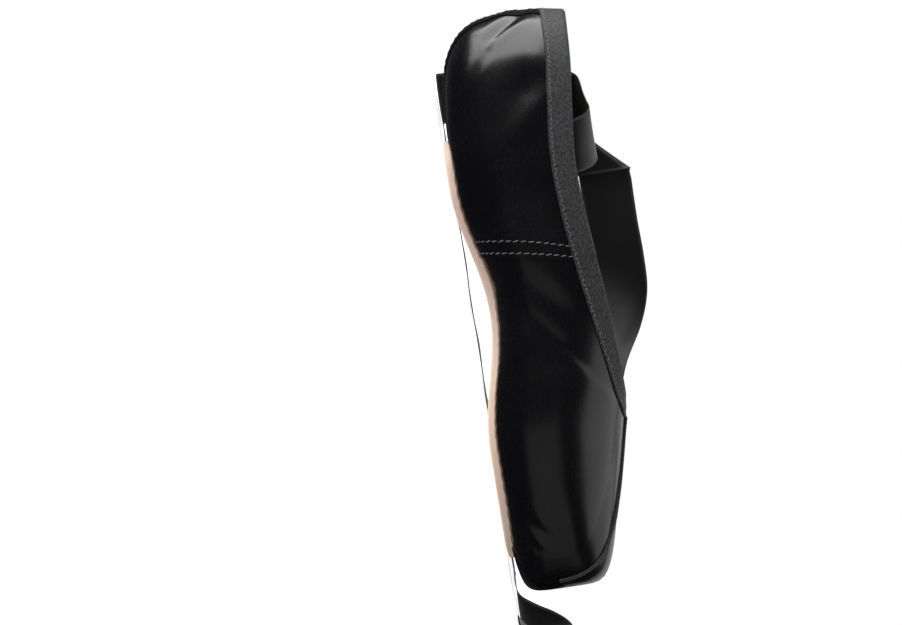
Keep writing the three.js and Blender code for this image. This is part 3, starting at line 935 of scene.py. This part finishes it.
for vertex in leather_outsole.data.vertices:
    if in_groove(vertex) and behind_inner_row(vertex):
        vertex.co.z = 0
for finish in (leather("pale_leather", LEATHER, LEATHER_WARM, True),
               leather("shaded_leather_edge", SHADED_EDGE_LEATHER, LEATHER, False),
               Finish("needle_hole_shade", {"Base Color": NEEDLE_HOLE_SHADE, "Roughness": 0.9})):
    leather_outsole.data.materials.append(finish.material)
# The holes, their walls and a ring round each take the near-black finish: painted shade
choose(leather_outsole, "VERT", needle_corner)
bpy.ops.mesh.bevel(offset=NEEDLE_WIDE * MM, affect="VERTICES", segments=2, profile=0.1)
bpy.ops.mesh.select_mode(type="FACE")
bpy.ops.mesh.extrude_region_move(TRANSFORM_OT_translate={"value": (0, 0, NEEDLE_DEEP * MM)})
bpy.ops.mesh.select_more()
leather_outsole.active_material_index = 2
bpy.ops.object.material_slot_assign()
rungs(leather_outsole)
bpy.ops.object.mode_set(mode="OBJECT")
# Steep faces, the sole's sides, take the darker edge finish: painted shade
for face in leather_outsole.data.polygons:
    if abs(face.normal.z) < 0.5 and face.material_index == 0:
        face.material_index = 1
lay_on_last(leather_outsole, 0.0)
bpy.ops.object.shade_smooth_by_angle(angle=math.radians(35))
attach(leather_outsole, "root")
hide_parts("outsole")
bpy.ops.object.select_all(action="DESELECT")

# Insole: a stiff board covered in cotton, which the foot stands on.
# It lies inside, on the turned-under edge of the upper, and hides it.
INSOLE_THICK = 1.6
INSOLE_CLEARANCE = 0.5
INSOLE_BED = SOLE_THICK + CLEARANCE + WALL + INSOLE_CLEARANCE
INSOLE_INSET = 3.0
INSOLE_POINTS = 160
INSOLE_ROUND = 0.5
cotton_insole = blank("cotton_insole", -INSOLE_INSET, INSOLE_POINTS, INSOLE_THICK)
round_rim(cotton_insole, INSOLE_THICK, INSOLE_ROUND)
rungs(cotton_insole)
lay_on_last(cotton_insole, INSOLE_BED)
put_on(cotton_insole, cotton("insole_cotton", flat=True), "cotton", "insole", sharp_from=35)

# Ribbons: two lengths of black satin ribbon, sewn flat inside the collar, that tie round the ankle.
# They lie loose: each row of a route is the middle of the ribbon and the reach to its edge.
RIBBON_THICK = 0.35
RIBBON_WIDE = 22.0
RIBBON_BLACK = (0.003, 0.003, 0.0036, 1)
RIBBON_EDGE = (0.030, 0.030, 0.032, 1)
RIBBON_ROUTES = {
    "left": [
        (-60, 28, 37, 11, 0.8, 0), (-60, 26.8, 43, 11, 0.8, 0), (-60, 24.6, 49.5, 11, 0.8, 0.6),
        (-60, 23.6, 55.5, 11, 0.4, 4), (-60, 23.6, 61, 11, 0, 8), (-60, 23.6, 64.4, 11, 0, 10.4),
        (-60, 25.1, 65.8, 11, 0, 10.9), (-58.6, 26.7, 65.9, 10.4, 0, 10.7), (-53, 26.9, 66, 8, 0.4, 10.9),
        (-41, 27.6, 65.8, 3.5, 1, 11), (-27, 28.4, 66, 0, 2, 10.8), (-12, 29.6, 66.8, 0, 3.4, 10.4),
        (4, 32, 67, 0, 5.8, 9.2), (18, 36.4, 65.2, 0.6, 8.8, 6.4), (31, 41.5, 60.5, 2.5, 10.3, 2.4),
        (43, 46.5, 52, 4.6, 8.4, 5.2), (54, 50.5, 40, 7.5, 2.5, 7.7), (64, 54, 27, 8, -1, 7.5),
        (73, 58, 14.5, 8, -4.5, 6), (82, 63.5, 6, 7.2, -7.6, 3.2), (93, 70.5, 1.5, 6.2, -9, 0.4),
        (104.5, 74, 0.8, 2.6, -10.7, 0), (116, 72.6, 0.8, -2.6, -10.7, 0), (126.5, 66, 0.8, -6.4, -8.9, 0),
        (134, 56, 1.6, -8.9, -6.4, 0.6), (138.4, 44, 4.2, -9.7, -3.4, 3.4), (140.4, 31, 7.8, -8.2, -1, 7),
        (140.4, 18, 10.3, -5.2, 0.4, 9.5), (138.8, 5, 11.4, -2, 0.6, 10.7), (136.8, -8, 11.4, 0, 0, 10.7),
        (135.4, -21, 11, 2.4, 0.2, 10.3), (135, -34, 9, 5.8, 0.4, 8.2), (135.4, -47, 5.8, 9.6, 0.6, 5),
        (136.4, -60, 2.2, 10.8, 1, 1.2),
    ],
    "right": [
        (-60, -28, 37, 11, -0.8, 0), (-60, -26.8, 43, 11, -0.8, 0), (-60, -24.6, 49.5, 11, -0.8, 0),
        (-60.4, -23, 55.5, 11, -0.2, 0), (-62, -19.6, 60, 10.9, 0.8, 0), (-64.5, -13.5, 62.4, 10.6, 2.8, 0),
        (-68.5, -4.5, 62.4, 10, 4.4, 0), (-73, 5, 61.6, 10, 4.6, -0.2), (-77.6, 15, 60.4, 10.3, 3.8, -0.6),
        (-81.6, 24.8, 58.2, 10.7, 2.4, -1.2), (-84.6, 31, 53.8, 10.8, 2, -1),
        (-86.8, 34.6, 45, 10.9, 1.6, -0.4), (-88.6, 36.4, 33, 10.9, 1.2, 0), (-90, 38, 20, 11, 0.8, 0),
        (-91.2, 41.8, 8.5, 11, 0.2, 0),
        (-92.2, 49, 2.2, 11, -0.4, 0), (-92, 60, 0.8, 11, -0.8, 0), (-88.5, 71, 0.8, 10, -4.6, 0),
        (-81, 79.5, 0.8, 7.2, -8.3, 0), (-70, 84.5, 0.8, 3.8, -10.3, 0), (-57, 86.2, 0.8, 0.4, -11, 0),
        (-44, 84.6, 0.8, -2.4, -10.7, 0), (-31, 80.8, 0.8, -3.3, -10.5, 0), (-18, 76.8, 0.8, -2.8, -10.6, 0),
        (-5, 74, 0.8, -1.6, -10.9, 0), (8.5, 73.4, 0.8, 0.6, -11, 0), (22, 75.6, 0.8, 2.8, -10.6, 0),
        (34.5, 80.5, 0.8, 4.9, -9.8, 0), (46, 87.5, 0.8, 6.2, -9.1, 0), (57, 95.2, 0.8, 6, -9.2, 0),
        (68.5, 102, 0.8, 5, -9.8, 0), (81, 107, 0.8, 3.4, -10.5, 0), (94, 110, 0.8, 1.8, -10.8, 0),
        (107, 111.5, 0.8, 0.8, -11, 0), (120, 112, 0.8, 0, -11, 0),
    ],
}


def open_curve(points, steps):
    """Centripetal Catmull-Rom curve through an open row of points, with steps to each span."""
    points = np.asarray(points, float)
    closed = np.vstack([points, 2 * points[-1] - points[-2], 2 * points[0] - points[1]])
    spans = len(points) - 1
    places = np.linspace(0, spans, spans * steps + 1) / len(closed)
    return closed_curve(closed, places)


def ribbon_cloth(name):
    """Satin ribbon: fine ribs across it, a soft gloss and a firm woven edge."""
    cloth = Finish(name, {"Specular IOR Level": 0.4, "Sheen Weight": 0.03, "Sheen Roughness": 0.35})
    flat = cloth.uv()
    rib = cloth.wave(cloth.axis(flat, "X"), 0.0005)
    edge = cloth.step(cloth.math("ABSOLUTE", cloth.axis(flat, "Y")), 0.0097, 0.0103)
    uneven = cloth.noise(cloth.place(), 70.0, 3.0, 0.55)
    colour = cloth.mix(edge, RIBBON_BLACK, RIBBON_EDGE)
    cloth.set(Base_Color=colour, Roughness=0.36 + 0.1 * uneven + 0.2 * edge)
    cloth.bump(rib * 0.4 + edge * 0.8 + uneven * 0.3, 0.25, 0.0001)
    return cloth


ribbon_finish = ribbon_cloth("satin_ribbon")
for side, route in RIBBON_ROUTES.items():
    rows = open_curve(route, 8)
    middle, half = rows[:, :3], rows[:, 3:]
    run = run_along(middle)
    over = np.linspace(-1, 1, 17)
    face = unit(np.cross(np.gradient(middle, axis=0), half))
    cup = 0.28 * np.sin(run / 6.5)[:, None] * over**2
    tilt = 0.12 * np.sin(run / 11 + 1)[:, None] * over
    points = middle[:, None] + half[:, None] * over[:, None] + face[:, None] * (cup + tilt)[:, :, None]
    ribbon = laid_sheet(f"satin_ribbon_{side}", points, run[:, None], over * RIBBON_WIDE / 2)
    thicken(ribbon, RIBBON_THICK, 0)
    put_on(ribbon, ribbon_finish, "ribbon", f"ribbon_{side}")
    tuple(middle[0] * MM)
    (middle * MM).tolist()

# Drawstring: a thin braided cotton cord that runs inside the tape and draws the collar in.
# Its two cut ends come out at the throat and lie over the vamp.
CORD_THICK = 1.4
CORD_BLACK = (0.010, 0.010, 0.011, 1)
CORD_YARN = (0.040, 0.040, 0.042, 1)
CORD_ROUTES = {
    "right": [
        (54.4, -1.7, 58), (61, -3, 56.3), (68, -5, 54.6), (75, -7.6, 52.8), (82, -10.6, 50.9),
        (89, -13.8, 48.7), (95.5, -17, 46.5), (101.5, -20, 43.7), (106.5, -22.9, 41), (110.8, -25.3, 37),
        (114, -27.4, 31.5), (115.6, -28, 25.5), (116, -28.2, 20),
    ],
    "left": [
        (54.4, 1.7, 58), (60.5, 4.5, 56.4), (65.5, 8.5, 54.9), (70, 13, 53.2), (74, 18, 51),
        (77.5, 23, 47.7), (80.5, 27.5, 44), (83, 31.4, 39.5), (85, 34.8, 34.2), (86.2, 37, 28.2),
        (86.8, 37.8, 22), (87, 37.5, 16),
    ],
}


def braided(name):
    """Matt black cotton cord, its strands crossing in a fine braid."""
    cord = Finish(name, {"Specular IOR Level": 0.3, "Sheen Weight": 0.25})
    flat = cord.uv()
    along, round_it = cord.axis(flat, "X"), cord.axis(flat, "Y")
    strand = cord.wave(along + round_it, 0.0011) * cord.wave(along - round_it, 0.0011)
    cord.set(Base_Color=cord.mix(strand, CORD_BLACK, CORD_YARN), Roughness=0.75 + 0.1 * strand)
    cord.bump(strand, 0.5, 0.00012)
    return cord


cord_finish = braided("braided_cord")
for side, route in CORD_ROUTES.items():
    path = open_curve(route, 12)
    ahead = unit(np.gradient(path, axis=0))
    level = unit(np.cross(ahead, [0.0, 0.0, 1.0]))
    rise = np.cross(level, ahead)
    run = run_along(path)
    turn = np.linspace(0, 2 * math.pi, 13)
    swell = CORD_THICK / 2 * (1 + 0.07 * np.sin(3 * turn[None, :] + run[:, None] * 3.6))
    points = path[:, None] + swell[:, :, None] * (
        level[:, None] * np.cos(turn)[None, :, None] + rise[:, None] * np.sin(turn)[None, :, None])
    cord_end = laid_sheet(f"drawstring_end_{side}", points, run[:, None], turn * CORD_THICK / 2)
    merge_seam()
    bpy.ops.object.mode_set(mode="EDIT")
    bpy.ops.mesh.fill_holes(sides=0)
    bpy.ops.mesh.normals_make_consistent(inside=False)
    bpy.ops.object.mode_set(mode="OBJECT")
    put_on(cord_end, cord_finish, "drawstring", f"drawstring_{side}", sharp_from=60)
    tuple(path[0] * MM)
    (path * MM).tolist()

# Floor, light and camera: a pale floor that glows a little, soft boxes at the heel, the front and the
# far side, and a wide light overhead. The camera has the photograph's side view, turned heel up.
FLOOR_SIZE = 60
FLOOR_WHITE = (0.97, 0.97, 0.97, 1)
FLOOR_GLOW = 0.66
bpy.ops.mesh.primitive_plane_add(size=FLOOR_SIZE)
floor = bpy.context.object
floor.name = "floor"
floor.visible_glossy = floor.visible_shadow = False
floor_finish = Finish("pale_floor", {
    "Roughness": 0.9, "Specular IOR Level": 0.0, "Base Color": FLOOR_WHITE,
    "Emission Color": (1, 1, 1, 1), "Emission Strength": FLOOR_GLOW})
floor.data.materials.append(floor_finish.material)


def soft_box(name, place, target, size, radiance):
    """A rectangular soft box that faces a target, as bright all over as radiance says."""
    lamp = bpy.data.lights.new(name, "AREA")
    lamp.shape = "RECTANGLE"
    lamp.size, lamp.size_y = size
    lamp.energy = radiance * math.pi * size[0] * size[1]
    box = bpy.data.objects.new(name, lamp)
    box.location = place
    box.visible_camera = False
    box.rotation_euler = (Vector(target) - Vector(place)).to_track_quat("-Z", "Y").to_euler()
    bpy.context.scene.collection.objects.link(box)


soft_box("heel_box", (-1.2, -0.32, 0.2), (-0.1, -0.32, 0.2), (1.8, 1.2), 5.4)
soft_box("front_box", (0.88, -1.9, 0.2), (0.02, 0, 0.03), (2.1, 2.1), 0.30)
soft_box("far_box", (0.6, 2.3, 0.9), (0.02, 0, 0.03), (5.0, 1.9), 0.6)
sun = bpy.data.objects.new("overhead", bpy.data.lights.new("overhead", "SUN"))
sun.data.energy = 1.2
sun.data.angle = math.radians(75)
sun.rotation_euler = (math.radians(-8), math.radians(-6), 0)
bpy.context.scene.collection.objects.link(sun)

world = bpy.data.worlds.new("studio")
bpy.context.scene.world = world
world.use_nodes = True
sky = world.node_tree
sky.nodes.clear()
shown = sky.nodes.new("ShaderNodeBackground")
lighting = sky.nodes.new("ShaderNodeBackground")
shown.inputs["Color"].default_value = (1, 1, 1, 1)
lighting.inputs["Color"].default_value = (0.03, 0.03, 0.032, 1)
rays = sky.nodes.new("ShaderNodeLightPath")
either = sky.nodes.new("ShaderNodeMixShader")
end = sky.nodes.new("ShaderNodeOutputWorld")
sky.links.new(rays.outputs["Is Camera Ray"], either.inputs[0])
sky.links.new(lighting.outputs[0], either.inputs[1])
sky.links.new(shown.outputs[0], either.inputs[2])
sky.links.new(either.outputs[0], end.inputs["Surface"])
bpy.context.scene.view_settings.view_transform = "Standard"

LEAN = math.radians(9)
ELEVATION = math.radians(1)
DISTANCE = 1.6
FRAME_HIGH = 0.262
PICTURE = (902, 625)
AIM = Vector((0.006, 0.0, 0.032))
SHOE_RIGHT_OF_MIDDLE = 0.040
view_back = Vector((0, -math.cos(ELEVATION), math.sin(ELEVATION)))
level_right, level_up = Vector((1, 0, 0)), Vector((0, math.sin(ELEVATION), math.cos(ELEVATION)))
right = math.sin(LEAN) * level_right + math.cos(LEAN) * level_up
up_image = -math.cos(LEAN) * level_right + math.sin(LEAN) * level_up
camera_data = bpy.data.cameras.new("camera")
camera = bpy.data.objects.new("camera", camera_data)
bpy.context.scene.collection.objects.link(camera)
camera_data.sensor_width = 36.0
frame_wide = FRAME_HIGH * PICTURE[0] / PICTURE[1]
camera_data.lens = camera_data.sensor_width * DISTANCE / frame_wide
aim = AIM - right * SHOE_RIGHT_OF_MIDDLE
spot = aim + view_back * DISTANCE
camera.matrix_world = Matrix((
    (right.x, up_image.x, view_back.x, spot.x),
    (right.y, up_image.y, view_back.y, spot.y),
    (right.z, up_image.z, view_back.z, spot.z),
    (0, 0, 0, 1),
))
camera_data.clip_end = 30
bpy.context.scene.camera = camera
